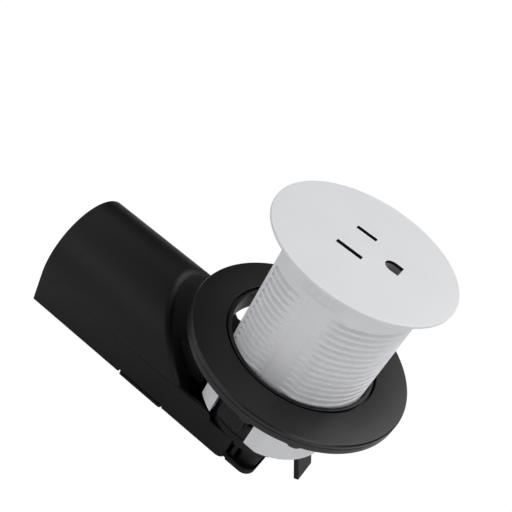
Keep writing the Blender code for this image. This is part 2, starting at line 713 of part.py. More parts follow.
def above_sleeve_side():
    """The region, in XZ, above the slope and the stepped upper edge of the side walls."""
    far = REACH
    step = arc(2.4, 90, 0, 4, (-11.3, WALL_HIGH - 2.4))
    return [
        (-REACH, SLOPE_SUM + REACH),
        (SLOPE_SUM - WALL_HIGH, WALL_HIGH),
        *step,
        (-8.9, WALL_LOW),
        (far, WALL_LOW),
        (far, far),
        (-REACH, far),
    ]


def inside_sleeve_side():
    """The hollow of the sleeve in XZ, on both sides of the sloped wall and under its foot."""
    inner_sum = SLOPE_SUM - SLEEVE_WALL * math.sqrt(2)
    left, right = HOUSING_END - 5.0, SLEEVE_END + 5.0
    floor, crown = -95.0, -40.0
    above = WALL_HIGH + 3.0
    return [
        (left, floor),
        (right, floor),
        (right, above),
        (SLOPE_SUM - WALL_HIGH, above),
        (SLOPE_SUM - WALL_HIGH, WALL_HIGH),
        (SLOPE_SUM - WALL_LOW, WALL_LOW),
        (inner_sum - WALL_LOW, WALL_LOW),
        (inner_sum - crown, crown),
        (left, crown),
    ]


def corner_waste(side):
    """Plan of what the rounded end corner of one side wall leaves over."""
    inset, beyond = SLEEVE_END - SLEEVE_CORNER, SLEEVE_END + 4.0
    round_end = arc(SLEEVE_CORNER, 0, 90, 5, (inset, SLEEVE_HALF - SLEEVE_CORNER))
    outline = [(beyond, 5.0), (SLEEVE_END, 5.0), *round_end, (inset, REACH), (beyond, REACH)]
    return [(x, side * y) for x, y in outline]


def make_sleeve():
    """Arched cover with a sloped closed face; its side walls reach on under the barrel."""
    outline = arch_outline(SLEEVE_HALF, SLEEVE_RISE, BASE_BOTTOM)
    mesh = add_prism(bmesh.new(), outline, HOUSING_END, SLEEVE_END, "X")
    sleeve = piece("cover_sleeve", mesh, "black_shell", smooth=True)
    above = add_prism(bmesh.new(), above_sleeve_side(), -REACH, REACH, "Y")
    combine(sleeve, helper("cut_above_sleeve", above))
    corners = bmesh.new()
    for side in (1, -1):
        add_prism(corners, corner_waste(side), -95.0, -60.0)
    combine(sleeve, helper("cut_sleeve_corners", corners))
    bevel(sleeve, 0.9, 38.0)
    inner = arch_outline(SLEEVE_HALF - SLEEVE_WALL, SLEEVE_RISE - SLEEVE_WALL, -95.0)
    hollow = helper("cut_sleeve_hollow", add_prism(bmesh.new(), inner, -95.0, 12.0, "X"))
    hollow_side = add_prism(bmesh.new(), inside_sleeve_side(), -REACH, REACH, "Y")
    combine(hollow, helper("keep_sleeve_hollow", hollow_side), "INTERSECT")
    combine(sleeve, hollow)
    openings = bmesh.new()
    notch_x = (LATCH_X[0] - LATCH_ROOM, LATCH_X[1] + LATCH_ROOM)
    add_box(openings, notch_x, (-REACH, REACH), (-95.0, LATCH_Z[1] + LATCH_ROOM))
    window = (-DUCT_HALF - GAP, DUCT_HALF + GAP)
    add_box(openings, (-38.0, -20.5), window, (DUCT_Z[0] - GAP, DUCT_TOP + GAP))
    combine(sleeve, helper("cut_sleeve_openings", openings))
    return sleeve


def make_latch():
    """A plate under the tray whose ends sit in notches of the sleeve's walls."""
    outline = rounded_rectangle(LATCH_X[0], LATCH_X[1], -SLEEVE_HALF, SLEEVE_HALF, 0.8, 2)
    latch = piece("cover_latch", add_prism(bmesh.new(), outline, *LATCH_Z), "black_shell")
    stems = bmesh.new()
    for x, y in LATCH_STEMS:
        add_prism(stems, circle(1.5, 14, (x, y)), LATCH_Z[0] + 0.4, -74.5)
    combine(latch, helper("add_latch_stems", stems), "UNION")
    return latch


def lever_outline():
    """Side view of the lever in XZ: hub arm, catch nose and splayed finger."""
    lean = math.radians(LEVER_LEAN_DEG)
    down = (math.sin(lean), -math.cos(lean))
    across = (math.cos(lean), math.sin(lean))
    thick = 1.75
    root = (18.05, -73.4)
    length = (root[1] - BASE_BOTTOM) / math.cos(lean) - 0.2
    tip = (root[0] + down[0] * length, root[1] + down[1] * length)
    tip_far = (tip[0] + across[0] * thick, tip[1] + across[1] * thick)
    root_far = (root[0] + across[0] * thick, root[1] + across[1] * thick)
    return [
        (PIVOT[0], -73.2),
        (PIVOT[0] + 2.2, -73.4),
        root,
        tip,
        tip_far,
        (root_far[0], root_far[1]),
        (19.6, -71.4),
        (19.6, -66.0),
        (21.9, -65.7),
        (19.6, -63.9),
        (18.3, -63.9),
        (18.3, -69.4),
        (PIVOT[0] + 1.0, -69.6),
        (PIVOT[0], -69.6),
    ]


def make_lever():
    """Release lever on a pin along Y; the nose holds the barrel foot."""
    mesh = add_prism(bmesh.new(), lever_outline(), LEVER_Y[0], LEVER_Y[1], "Y")
    lever = piece("release_lever", mesh, "black_shell", smooth=True)
    hub = add_prism(bmesh.new(), circle(1.95, 20, PIVOT), LEVER_Y[0], LEVER_Y[1], "Y")
    hub_helper = helper("add_lever_hub", hub)
    bore = add_prism(bmesh.new(), circle(HINGE_HOLE, 14, PIVOT), -12.0, 8.0, "Y")
    bore_helper = helper("cut_lever_bore", bore)
    narrow = bmesh.new()
    for y in ((LEVER_Y[0] - 1.0, LEVER_Y[0] + 1.6), (LEVER_Y[1] - 1.6, LEVER_Y[1] + 1.0)):
        add_box(narrow, (17.8, 24.0), y, (-68.9, -60.0))
    narrow_helper = helper("cut_lever_nose", narrow)
    combine(lever, hub_helper, "UNION")
    combine(lever, bore_helper)
    combine(lever, narrow_helper)
    set_origin(lever, PIVOT[0], 0.0, PIVOT[1])
    return lever


def make_lever_pin():
    mesh = add_prism(bmesh.new(), circle(HINGE_PIN, 16, PIVOT), LEVER_Y[0] - 2.0, LEVER_Y[1] + 2.0, "Y")
    return piece("lever_pin", mesh, "screw_steel", smooth=True)


# Supply inlet, wires and screws.

def make_inlet():
    low, high = INLET_Z
    outline = rounded_rectangle(-INLET_HALF, INLET_HALF, low, high, 4.0, 4)
    inlet = piece("inlet_body", add_prism(bmesh.new(), outline, *INLET_X, "X"), "core_black", smooth=True)
    feet = add_box(bmesh.new(), (-61.8, -56.2), (-16.7, 16.7), (low, low + 2.0))
    combine(inlet, helper("add_inlet_feet", feet), "UNION")
    socket = rounded_rectangle(-INLET_HALF + 2.6, INLET_HALF - 2.6, low + 2.8, high - 2.6, 3.0, 3)
    holes = add_prism(bmesh.new(), socket, INLET_X[0] - 2.0, -51.5, "X")
    combine(inlet, helper("cut_inlet_socket", holes))
    drills = bmesh.new()
    for y, z in PIN_PLACES.values():
        add_prism(drills, circle(1.5, 12, (y, z)), -55.0, INLET_X[1] + 2.0, "X")
    for x, y in INLET_SCREW_PLACES.values():
        add_prism(drills, circle(INLET_HOLE, 12, (x, y)), -90.0, -70.0)
    combine(inlet, helper("cut_inlet_holes", drills))
    return inlet


def make_inlet_pins():
    for pole, (y, z) in PIN_PLACES.items():
        mesh = add_prism(bmesh.new(), circle(1.2, 14, (y, z)), -66.0, -44.6, "X")
        piece(f"inlet_pin_{pole}", mesh, "pin_nickel", smooth=True)


def make_wires():
    """Leads from the contact tabs, down the barrel, through the duct, to the inlet pins."""
    starts = {"hot": (BLADE_X, BLADE_Y), "neutral": (BLADE_X, -BLADE_Y), "ground": (EARTH_X, 0.0)}
    colours = {"hot": "wire_black", "neutral": "wire_white", "ground": "wire_green"}
    level = (DUCT_Z[0] + DUCT_Z[1]) / 2
    for pole, (x, y) in starts.items():
        pin_y, pin_z = PIN_PLACES[pole]
        points = [
            (x, y, TAB_BOTTOM - 0.4),
            (x, y, -52.0),
            (-6.0, pin_y * 0.9, level),
            (-18.0, pin_y * 0.8, level),
            (-31.0, pin_y * 0.8, level),
            (-37.0, pin_y, pin_z),
            (-44.2, pin_y, pin_z),
        ]
        wire_path(f"{pole}_wire", points, 1.2, colours[pole])


def make_screw(name, x, y, seat, tip, head_below, shank=1.35, head=2.5, head_height=1.7):
    """A pan-head screw along Z; head_below says on which side of the seat its head is."""
    direction = -1 if head_below else 1
    top = seat + direction * head_height
    profile = [(0.0, top), (head - 0.5, top), (head, top - direction * 0.5), (head, seat),
               (shank, seat), (shank, tip + direction * 0.6), (shank - 0.5, tip), (0.0, tip)]
    mesh = add_turned(bmesh.new(), lambda _: profile, even_azimuths(14), closed=False)
    bmesh.ops.translate(mesh, verts=mesh.verts, vec=(x * MM, y * MM, 0.0))
    screw = piece(name, mesh, "screw_steel", smooth=True)
    recess = bmesh.new()
    depth = sorted((top + direction, top - direction * 0.8))
    add_box(recess, (x - 1.5, x + 1.5), (y - 0.35, y + 0.35), depth)
    combine(screw, helper(f"cut_{name}_slot", recess))
    return screw


def make_screws():
    for number, (x, y) in enumerate(BASE_SCREWS, 1):
        make_screw(f"base_screw_{number}", x, y, SCREW_SEAT - GAP, -61.6, True)
    for side, (x, y) in CORE_SCREW_PLACES.items():
        make_screw(f"core_screw_{side}", x, y, CORE_COVER_Z[0] - GAP, CORE_SCREW_TIP, True, 1.2, 2.3, 1.5)
    seat = INLET_Z[0] + 2.0 + GAP
    for side, (x, y) in INLET_SCREW_PLACES.items():
        make_screw(f"inlet_screw_{side}", x, y, seat, BASE_BOTTOM + 0.2, False, 1.35, 2.2, 1.5)


def main():
    clear_scene()
    make_face_plate()
    make_barrel()
    make_core()
    make_core_cover()
    make_contacts()
    make_shutter()
    make_shutter_spring()
    make_pressure_plate()
    make_clamp_nut()
    make_chassis()
    make_duct()
    make_lid()
    make_tray()
    make_sleeve()
    make_latch()
    make_lever()
    make_lever_pin()
    make_inlet()
    make_inlet_pins()
    make_wires()
    make_screws()


main()
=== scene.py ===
"""Looks of the desk grommet power outlet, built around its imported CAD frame.

Lengths in the build functions are in millimetres in the frame's own axes: +Z up along
the barrel, the origin in the middle of the face plate's top, the housing towards -X.
"""

import json
import math

import bmesh
import bpy
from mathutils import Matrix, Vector

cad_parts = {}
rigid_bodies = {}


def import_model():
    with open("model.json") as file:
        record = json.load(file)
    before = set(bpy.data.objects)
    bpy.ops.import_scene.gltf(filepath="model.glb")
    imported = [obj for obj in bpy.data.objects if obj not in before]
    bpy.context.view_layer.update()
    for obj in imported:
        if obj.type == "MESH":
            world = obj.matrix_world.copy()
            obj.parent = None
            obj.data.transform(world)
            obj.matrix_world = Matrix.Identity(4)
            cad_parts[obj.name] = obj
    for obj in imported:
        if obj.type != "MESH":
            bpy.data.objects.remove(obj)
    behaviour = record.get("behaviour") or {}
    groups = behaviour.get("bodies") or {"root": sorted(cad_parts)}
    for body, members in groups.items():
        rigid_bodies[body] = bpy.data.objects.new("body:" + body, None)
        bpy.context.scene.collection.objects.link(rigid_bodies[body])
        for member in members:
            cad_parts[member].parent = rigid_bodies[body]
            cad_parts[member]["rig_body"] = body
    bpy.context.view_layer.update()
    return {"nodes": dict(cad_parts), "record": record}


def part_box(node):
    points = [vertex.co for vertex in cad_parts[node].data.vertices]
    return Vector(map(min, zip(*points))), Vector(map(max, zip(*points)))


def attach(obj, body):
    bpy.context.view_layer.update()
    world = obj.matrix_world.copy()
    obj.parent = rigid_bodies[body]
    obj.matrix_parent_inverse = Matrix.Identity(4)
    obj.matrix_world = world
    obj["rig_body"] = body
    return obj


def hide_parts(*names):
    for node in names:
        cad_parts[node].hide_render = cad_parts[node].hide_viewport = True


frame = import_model()

MM = 0.001
FAR = 60.0


# The frame's measures.

class Box:
    """A CAD node's lowest and highest corners in millimetres."""

    def __init__(self, node):
        low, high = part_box(node)
        self.x0, self.y0, self.z0 = [value / MM for value in low]
        self.x1, self.y1, self.z1 = [value / MM for value in high]


PLATE = Box("face_plate")
BARREL = Box("threaded_barrel")
WASHER = Box("pressure_plate")
SLEEVE = Box("cover_sleeve")
LID = Box("base_lid")
TRAY = Box("base_tray")
DUCT = Box("cable_duct")
LATCH = Box("cover_latch")
LEVER = Box("release_lever")
CHASSIS = Box("barrel_chassis")

# Face plate; DESK is the height of the desk's surface, and SLOT_HALF half a slot's width.
PLATE_THICK = 0.9
DESK = -PLATE_THICK
PLATE_RADIUS = PLATE.x1
RELIEF_RADIUS, RELIEF_DEPTH = 24.6, 0.15
SPIGOT_OUTER, SPIGOT_INNER = 18.0, 16.8
SLOT_LENGTHS = (8.5, 6.85)
SLOT_X, SLOT_HALF, BLADE_Y = -3.1, 0.85, 6.35
EARTH_X, EARTH_END, EARTH_HALF = 8.8, 11.4, 2.5

# Barrel: the thread's crests, its flats, the flattened -X side (an arc round SIDE_CENTRE_X), the
# azimuth where the thread ends (LAND_EDGE), the raised strips and the openings at the foot.
CREST = BARREL.x1
GROOVE_DEPTH, GROOVE_START, GROOVE_WALL = 1.35, 0.36, 0.34
FRONT_FLAT = BARREL.y1
SIDE_CENTRE_X, SIDE_RADIUS = 31.1, 50.5
SIDE_WALL, BORE = 1.0, 20.6
PITCH, THREAD_STARTS = 2.25, 2
THREAD_TOP, THREAD_ROWS, ROW_STEPS = DESK - 9.4, 20, 14
COLLAR_BOTTOM, RUN_IN = THREAD_TOP + 2.6, 1.0
LAND_EDGE = 133.4
STRIP_HALF, STRIP_SLOPE, STRIP_HEIGHT = 2.1, 0.4, 0.25
FOOT_TOP = DESK - 57.0
FOOT_WINDOW_X = (-10.3, 3.9)
FOOT_WINDOW_Y, OUTSIDE = 16.0, 26.0
SIDE_NOTCH_X, SIDE_NOTCH_HALF = -11.5, 16.6
CATCH_X = 18.0
CATCH_Z = (DESK - 66.6, DESK - 63.3)

# Clamp ring: the washer above, the nut with its hub and grip lugs below (angles in degrees).
RING_RADIUS, RING_BORE = WASHER.x1, 25.4
CHAMFER_WIDTH, CHAMFER_DROP = 0.4, 0.45
HUB_BORE, HUB_RADIUS, HUB_DEPTH = 23.5, 24.7, 3.2
NUT_TOP, NUT_BOTTOM = WASHER.z0 - 0.2, WASHER.z0 - 2.3
LUG_PAIRS, LUG_PAIR, LUG_FIRST = 3, 24.2, -86.2
LUG_HALF, LUG_RAMP, LUG_DEPTH = 1.4, 2.0, 0.8

# Sleeve: x + z is SLOPE_SUM all over the 45 degree wall.
SLOPE_SUM = DESK - 91.2
WALL_HIGH, WALL_LOW = DESK - 68.6, DESK - 71.2
SLEEVE_CENTRE = DESK - 69.1
SLEEVE_RISE, SLEEVE_WALL, SLEEVE_CORNER = 22.2, 1.5, 3.0
STEP_X, STEP_RADIUS = -11.3, 2.4
LATCH_TOP, LATCH_ROOM = LATCH.z0 + 1.2, 0.35

# Cup in the barrel's foot, and the duct that runs from it into the slope.
CUP_RADIUS, CUP_INSET, CUP_WALL = 20.2, SIDE_WALL + 0.4, 1.6
CUP_DUCT_X = (-21.0, -13.0)
CUP_LEVER_X, CUP_LEVER_TOP = (15.5, 24.0), DESK - 61.0
SNAP_X, SNAP_Z = (-8.2, 1.2), (DESK - 65.8, DESK - 58.2)
POST_X, POST_Z = (2.2, 3.6), (DESK - 63.2, DESK - 60.4)
SNAP_FACE = (19.0, 21.9)
DUCT_SUM = DESK - 93.8
DUCT_TOP_HALF, DUCT_SHOULDER = 13.1, DESK - 60.0
DUCT_WINDOW_X = (-40.0, -20.5)
SHADOW_GAP = 0.05

# Base: lid, tray and the four screws that hold them.
LID_RADIUS, LID_END = 20.4, 12.6
LID_BOTTOM, SKIRT_BOTTOM = DESK - 70.9, DESK - 72.2
TRAY_CORNER, TRAY_FLOOR, TRAY_INNER_HALF = 4.0, 2.2, 18.5
TRAY_WALL_HALF, TRAY_WALL_END, TRAY_WALL = 17.3, 10.5, 1.6
POST_TOP, RAIL_HEIGHT = DESK - 73.8, 2.6
BASE_SCREWS = [(5.6, 12.4), (5.6, -12.4), (-9.0, 13.0), (-9.0, -13.0)]
SCREW_BOSS, SCREW_HOLE, SCREW_HEAD = 4.1, 1.75, 2.9
SCREW_HEAD_TOP = DESK - 78.6

# Release lever on its pin, whose axis is along Y at PIVOT in XZ.
PIVOT, PIN_HOLE = (15.2, DESK - 71.4), 1.3
EAR_THICK, EAR_GAP = 1.8, 0.3
LEVER_BACK, LEVER_THICK, NOSE_X = 19.6, 1.3, 21.9
FINGER_X, FINGER_TOP = 18.05, DESK - 73.4
FINGER_LEAN, FINGER_THICK = 28.0, 1.75


# Outlines and meshes.

def arc(radius, start_deg, end_deg, steps, centre=(0.0, 0.0)):
    """Points on a circle from start to end, both ends included."""
    points = []
    for step in range(steps + 1):
        angle = math.radians(start_deg + (end_deg - start_deg) * step / steps)
        x = centre[0] + radius * math.cos(angle)
        points.append((x, centre[1] + radius * math.sin(angle)))
    return points


def circle(radius, steps, centre=(0.0, 0.0)):
    return arc(radius, 0.0, 360.0, steps, centre)[:-1]


def rectangle(x0, x1, y0, y1):
    return [(x0, y0), (x1, y0), (x1, y1), (x0, y1)]


def rounded_rectangle(x0, x1, y0, y1, radius, steps=6):
    points = []
    corners = [(x1, y1, 0), (x0, y1, 90), (x0, y0, 180), (x1, y0, 270)]
    for x, y, turn in corners:
        centre_x = x - radius if x == x1 else x + radius
        centre_y = y - radius if y == y1 else y + radius
        points += arc(radius, turn, turn + 90, steps, (centre_x, centre_y))
    return points


AXIS_ORDER = {
    "Z": lambda a, b, h: (a, b, h),
    "Y": lambda a, b, h: (a, h, b),
    "X": lambda a, b, h: (h, a, b),
}


def add_prism(mesh, outline, low, high, axis="Z"):
    """Adds an extruded outline: its plane is XY for axis Z, XZ for Y and YZ for X."""
    place = AXIS_ORDER[axis]
    rings = []
    for height in (low, high):
        rings.append([mesh.verts.new([c * MM for c in place(a, b, height)]) for a, b in outline])
    count = len(outline)
    for i in range(count):
        j = (i + 1) % count
        mesh.faces.new((rings[0][i], rings[0][j], rings[1][j], rings[1][i]))
    mesh.faces.new(rings[0])
    mesh.faces.new(rings[1])
    return mesh


def add_box(mesh, x, y, z):
    return add_prism(mesh, rectangle(x[0], x[1], y[0], y[1]), z[0], z[1])


def add_turned(mesh, profile_at, azimuths, closed):
    """Adds a turned solid; an open profile gets its two ends capped with flat discs."""
    columns = []
    for azimuth in azimuths:
        turn = math.radians(azimuth)
        column = []
        for radius, z in profile_at(azimuth):
            place = (radius * math.cos(turn) * MM, radius * math.sin(turn) * MM, z * MM)
            column.append(mesh.verts.new(place))
        columns.append(column)
    rows = len(columns[0])
    for here, there in zip(columns, columns[1:] + columns[:1]):
        for row in range(rows if closed else rows - 1):
            below = (row + 1) % rows
            mesh.faces.new((here[row], there[row], there[below], here[below]))
    if not closed:
        mesh.faces.new([column[0] for column in columns])
        mesh.faces.new([column[-1] for column in columns])
    return mesh


def even_azimuths(steps, extra=()):
    spacing = 360.0 / steps
    marks = {round(spacing * step - 180.0, 4) for step in range(steps)}
    for mark in extra:
        marks = {m for m in marks if abs(m - mark) > 0.4 * spacing}
    return sorted(marks | set(extra))


def rounded_corner(before, corner, after, radius, steps=5):
    """Points that replace a profile's corner with an arc-like curve."""
    points = []
    start = step_towards(corner, before, radius)
    end = step_towards(corner, after, radius)
    for step in range(steps + 1):
        t = step / steps
        a, b, c = (1 - t) ** 2, 2 * t * (1 - t), t ** 2
        points.append(tuple(a * s + b * m + c * e for s, m, e in zip(start, corner, end)))
    return points


def step_towards(origin, target, distance):
    gap = math.dist(origin, target)
    share = min(0.5, distance / gap)
    return tuple(o + (t - o) * share for o, t in zip(origin, target))


def soften(profile, radii, closed):
    """A profile with each corner rounded by its own radius; 0 keeps it sharp."""
    points = []
    count = len(profile)
    for i, corner in enumerate(profile):
        radius = radii[i] if isinstance(radii, (list, tuple)) else radii
        at_end = not closed and i in (0, count - 1)
        if at_end or radius == 0:
            points.append(corner)
            continue
        points += rounded_corner(profile[i - 1], corner, profile[(i + 1) % count], radius)
    return points


# Objects and modifiers.

def new_object(name, mesh):
    bmesh.ops.recalc_face_normals(mesh, faces=mesh.faces)
    data = bpy.data.meshes.new(name)
    mesh.to_mesh(data)
    mesh.free()
    obj = bpy.data.objects.new(name, data)
    bpy.context.scene.collection.objects.link(obj)
    return obj


def shade(obj, angle_deg=32.0):
    obj.data.shade_smooth()
    obj.data.set_sharp_from_angle(angle=math.radians(angle_deg))


def cutter(name, mesh, material):
    """A hidden operand of a Boolean; its material is the one the cut walls take."""
    obj = new_object(name, mesh)
    obj.data.materials.append(material)
    obj.hide_render = True
    obj.display_type = "WIRE"
    return obj


def combine(obj, operand, operation="DIFFERENCE"):
    modifier = obj.modifiers.new(f"{operation.lower()}_{operand.name}", "BOOLEAN")
    modifier.operation = operation
    modifier.object = operand
    modifier.solver = "EXACT"
    modifier.material_mode = "TRANSFER"


def bevel(obj, width, segments=3, angle_deg=30.0, clamp=False):
    modifier = obj.modifiers.new("bevel", "BEVEL")
    modifier.width = width * MM
    modifier.segments = segments
    modifier.limit_method = "ANGLE"
    modifier.angle_limit = math.radians(angle_deg)
    modifier.use_clamp_overlap = clamp


def settle(obj, angle_deg=32.0):
    """Applies an object's modifiers and removes their operands."""
    operands = [m.object for m in obj.modifiers if m.type == "BOOLEAN"]
    bpy.context.view_layer.update()
    graph = bpy.context.evaluated_depsgraph_get()
    data = bpy.data.meshes.new_from_object(obj.evaluated_get(graph), depsgraph=graph)
    obj.modifiers.clear()
    obj.data = data
    for operand in operands:
        bpy.data.objects.remove(operand, do_unlink=True)
    shade(obj, angle_deg)
    return obj


def even_normals(obj):
    """Keeps large flat faces evenly lit right up to their rounded edges."""
    obj.modifiers.new("normals", "WEIGHTED_NORMAL").keep_sharp = True


def stand_for(obj, node):
    """Puts a finished piece in place of a CAD node, on that node's body."""
    body = frame["nodes"][node]["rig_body"]
    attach(obj, body)
    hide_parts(node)
    return obj


# Materials.

def node_tree(name):
    material = bpy.data.materials.new(name)
    material.use_nodes = True
    tree = material.node_tree
    return material, tree, tree.nodes["Principled BSDF"]


def noise(tree, scale, detail=2.0, roughness=0.5):
    """Noise in the object's own metres, so that grain is the same size on every piece."""
    coordinates = tree.nodes.new("ShaderNodeTexCoord")
    texture = tree.nodes.new("ShaderNodeTexNoise")
    texture.inputs["Scale"].default_value = scale
    texture.inputs["Detail"].default_value = detail
    texture.inputs["Roughness"].default_value = roughness
    tree.links.new(coordinates.outputs["Object"], texture.inputs["Vector"])
    return texture.outputs["Fac"]


def remap(tree, value, low, high, to_low, to_high):
    node = tree.nodes.new("ShaderNodeMapRange")
    node.inputs["From Min"].default_value = low
    node.inputs["From Max"].default_value = high
    node.inputs["To Min"].default_value = to_low
    node.inputs["To Max"].default_value = to_high
    tree.links.new(value, node.inputs["Value"])
    return node.outputs["Result"]


def mix_colour(tree, factor, first, second):
    node = tree.nodes.new("ShaderNodeMix")
    node.data_type = "RGBA"
    tree.links.new(factor, node.inputs["Factor"])
    for socket, value in ((node.inputs[6], first), (node.inputs[7], second)):
        if isinstance(value, tuple):
            socket.default_value = (*value, 1.0)
        else:
            tree.links.new(value, socket)
    return node.outputs[2]


def scaled(colour, factor):
    return tuple(min(1.0, channel * factor) for channel in colour)


def add_bump(tree, shader, height, strength, distance):
    bump = tree.nodes.new("ShaderNodeBump")
    bump.inputs["Strength"].default_value = strength
    bump.inputs["Distance"].default_value = distance
    tree.links.new(height, bump.inputs["Height"])
    tree.links.new(bump.outputs["Normal"], shader.inputs["Normal"])


def edge_mask(tree, radius):
    """About 1 where the surface turns sharply within the radius, 0 on flats and gentle curves."""
    geometry = tree.nodes.new("ShaderNodeNewGeometry")
    rounded = tree.nodes.new("ShaderNodeBevel")
    rounded.samples = 4
    rounded.inputs["Radius"].default_value = radius * MM
    agreement = tree.nodes.new("ShaderNodeVectorMath")
    agreement.operation = "DOT_PRODUCT"
    tree.links.new(geometry.outputs["Normal"], agreement.inputs[0])
    tree.links.new(rounded.outputs["Normal"], agreement.inputs[1])
    return remap(tree, agreement.outputs["Value"], 0.995, 0.88, 0.0, 1.0)


def moulded_plastic(name, colour, roughness, grain_scale=2600.0, grain=0.05, edge_highlight=0.3, specular=0.4):
    """Moulded plastic: fine grain, cloudy colour and gloss, and a painted highlight that makes sharp edges a
    little lighter.
    """
    material, tree, shader = node_tree(name)
    clouds = remap(tree, noise(tree, 55.0, 3.0), 0.3, 0.7, 0.0, 1.0)
    body = mix_colour(tree, clouds, scaled(colour, 0.97), scaled(colour, 1.03))
    speckle = remap(tree, noise(tree, 5200.0, 2.0), 0.35, 0.65, 0.0, 1.0)
    grained = mix_colour(tree, speckle, body, scaled(colour, 1.02))
    # Painted highlight: sharp edges are mixed towards a colour 1.6 times as light, standing in for light
    # caught on rounded edges.
    highlight_share = tree.nodes.new("ShaderNodeMath")
    highlight_share.operation = "MULTIPLY"
    highlight_share.inputs[1].default_value = edge_highlight
    tree.links.new(edge_mask(tree, 0.35), highlight_share.inputs[0])
    highlighted = mix_colour(tree, highlight_share.outputs["Value"], grained, scaled(colour, 1.6))
    tree.links.new(highlighted, shader.inputs["Base Color"])
    gloss = remap(tree, noise(tree, 180.0, 2.0), 0.3, 0.7, roughness - 0.025, roughness + 0.025)
    tree.links.new(gloss, shader.inputs["Roughness"])
    shader.inputs["Specular IOR Level"].default_value = specular
    add_bump(tree, shader, noise(tree, grain_scale, 3.0, 0.6), grain, 0.00006)
    return material


def metal(name, colour, roughness):
    """Drawn or plated metal with fine scratches."""
    material, tree, shader = node_tree(name)
    clouds = remap(tree, noise(tree, 120.0, 3.0), 0.3, 0.7, 0.0, 1.0)
    body = mix_colour(tree, clouds, scaled(colour, 0.9), scaled(colour, 1.06))
    tree.links.new(body, shader.inputs["Base Color"])
    gloss = remap(tree, noise(tree, 900.0, 2.0), 0.3, 0.7, roughness - 0.06, roughness + 0.08)
    tree.links.new(gloss, shader.inputs["Roughness"])
    shader.inputs["Metallic"].default_value = 1.0
    add_bump(tree, shader, noise(tree, 4200.0, 2.0), 0.06, 0.00004)
    return material


MATERIALS = {
    "white_shell": moulded_plastic("white_shell", (0.86, 0.865, 0.885), 0.42, grain=0.03, edge_highlight=0.15),
    "black_shell": moulded_plastic("black_shell", (0.0031, 0.0031, 0.0039), 0.46, specular=0.34),
    "ring_black": moulded_plastic("ring_black", (0.0036, 0.0035, 0.0044), 0.36, grain=0.015, specular=0.50),
    "core_black": moulded_plastic("core_black", (0.42, 0.42, 0.44), 0.55),
    "shutter_grey": moulded_plastic("shutter_grey", (0.030, 0.030, 0.033), 0.50),
    "wire_black": moulded_plastic("wire_black", (0.012, 0.012, 0.013), 0.45),
    "wire_white": moulded_plastic("wire_white", (0.62, 0.62, 0.60), 0.45),
    "wire_green": moulded_plastic("wire_green", (0.02, 0.16, 0.045), 0.45),
    "contact_brass": metal("contact_brass", (0.72, 0.50, 0.22), 0.28),
    "pin_nickel": metal("pin_nickel", (0.62, 0.60, 0.56), 0.24),
    "screw_steel": metal("screw_steel", (0.50, 0.50, 0.52), 0.32),
}
# Painted shade: near black for the walls of the face plate's openings, standing in for the shadow inside
# them.
SLOT_SHADE = moulded_plastic("slot_painted_shade", (0.004, 0.004, 0.004), 0.6, edge_highlight=0.0)


def paint(obj, material_slot):
    obj.data.materials.clear()
    obj.data.materials.append(MATERIALS[material_slot])


def paint_frame():
    for entry in frame["record"]["subparts"]:
        paint(frame["nodes"][entry["node"]], entry["material_slot"])


# Pieces finer than the frame's: plate, barrel and clamp ring.

def black_piece(name, mesh):
    obj = new_object(name, mesh)
    obj.data.materials.append(MATERIALS["black_shell"])
    return obj


def black_cutter(name, mesh):
    return cutter(name, mesh, MATERIALS["black_shell"])


def make_plate():
    """The face plate, with its rim rounded over and its openings' walls painted near black as shade."""
    corners = [
        (PLATE_RADIUS - 1.5, 0.0),
        (PLATE_RADIUS, 0.0),
        (PLATE_RADIUS, DESK),
        (RELIEF_RADIUS, DESK),
        (RELIEF_RADIUS, DESK + RELIEF_DEPTH),
        (SPIGOT_OUTER, DESK + RELIEF_DEPTH),
        (SPIGOT_OUTER, PLATE.z0),
        (SPIGOT_INNER, PLATE.z0),
        (SPIGOT_INNER, DESK),
        (SPIGOT_INNER - 1.0, DESK),
    ]
    profile = soften(corners, [0, 0.28, 0.16, 0, 0, 0, 0.2, 0.2, 0, 0], closed=False)
    plate = new_object("plate", add_turned(bmesh.new(), lambda _: profile, even_azimuths(240), False))
    plate.data.materials.append(MATERIALS["white_shell"])
    openings = bmesh.new()
    for length, y in zip(SLOT_LENGTHS, (-BLADE_Y, BLADE_Y)):
        ends = (SLOT_X - length / 2, SLOT_X + length / 2)
        slot = rounded_rectangle(*ends, y - SLOT_HALF, y + SLOT_HALF, 0.2, 3)
        add_prism(openings, slot, DESK - 1.0, 1.0)
    earth = arc(EARTH_HALF, 90, 270, 24, (EARTH_X, 0.0))
    earth += [(EARTH_END, -EARTH_HALF), (EARTH_END, EARTH_HALF)]
    add_prism(openings, earth, DESK - 1.0, 1.0)
    # The openings' walls take the painted shade instead of the plate's white.
    combine(plate, cutter("plate_openings", openings, SLOT_SHADE))
    settle(plate)
    return stand_for(plate, "face_plate")


def thread_cut(azimuth, z):
    """How deep the two-start thread is cut, 0 to 1, at a point of the barrel's surface."""
    if abs(azimuth) > LAND_EDGE:
        return 0.0
    rows = (THREAD_TOP - z) / PITCH + THREAD_STARTS * (azimuth + 90.0) / 360.0
    if rows < 0.0 or rows > THREAD_ROWS:
        return 0.0
    wave = 0.5 - 0.5 * math.cos(2.0 * math.pi * (rows % 1.0))
    wall = min(1.0, max(0.0, (wave - GROOVE_START) / GROOVE_WALL))
    return wall * wall * (3.0 - 2.0 * wall)


def side_limit(azimuth, inset):
    """Distance from the axis to the barrel's flattened -X side, less an inset."""
    turn = math.radians(azimuth)
    across = SIDE_CENTRE_X * math.sin(turn)
    return SIDE_CENTRE_X * math.cos(turn) + math.sqrt((SIDE_RADIUS - inset) ** 2 - across ** 2)


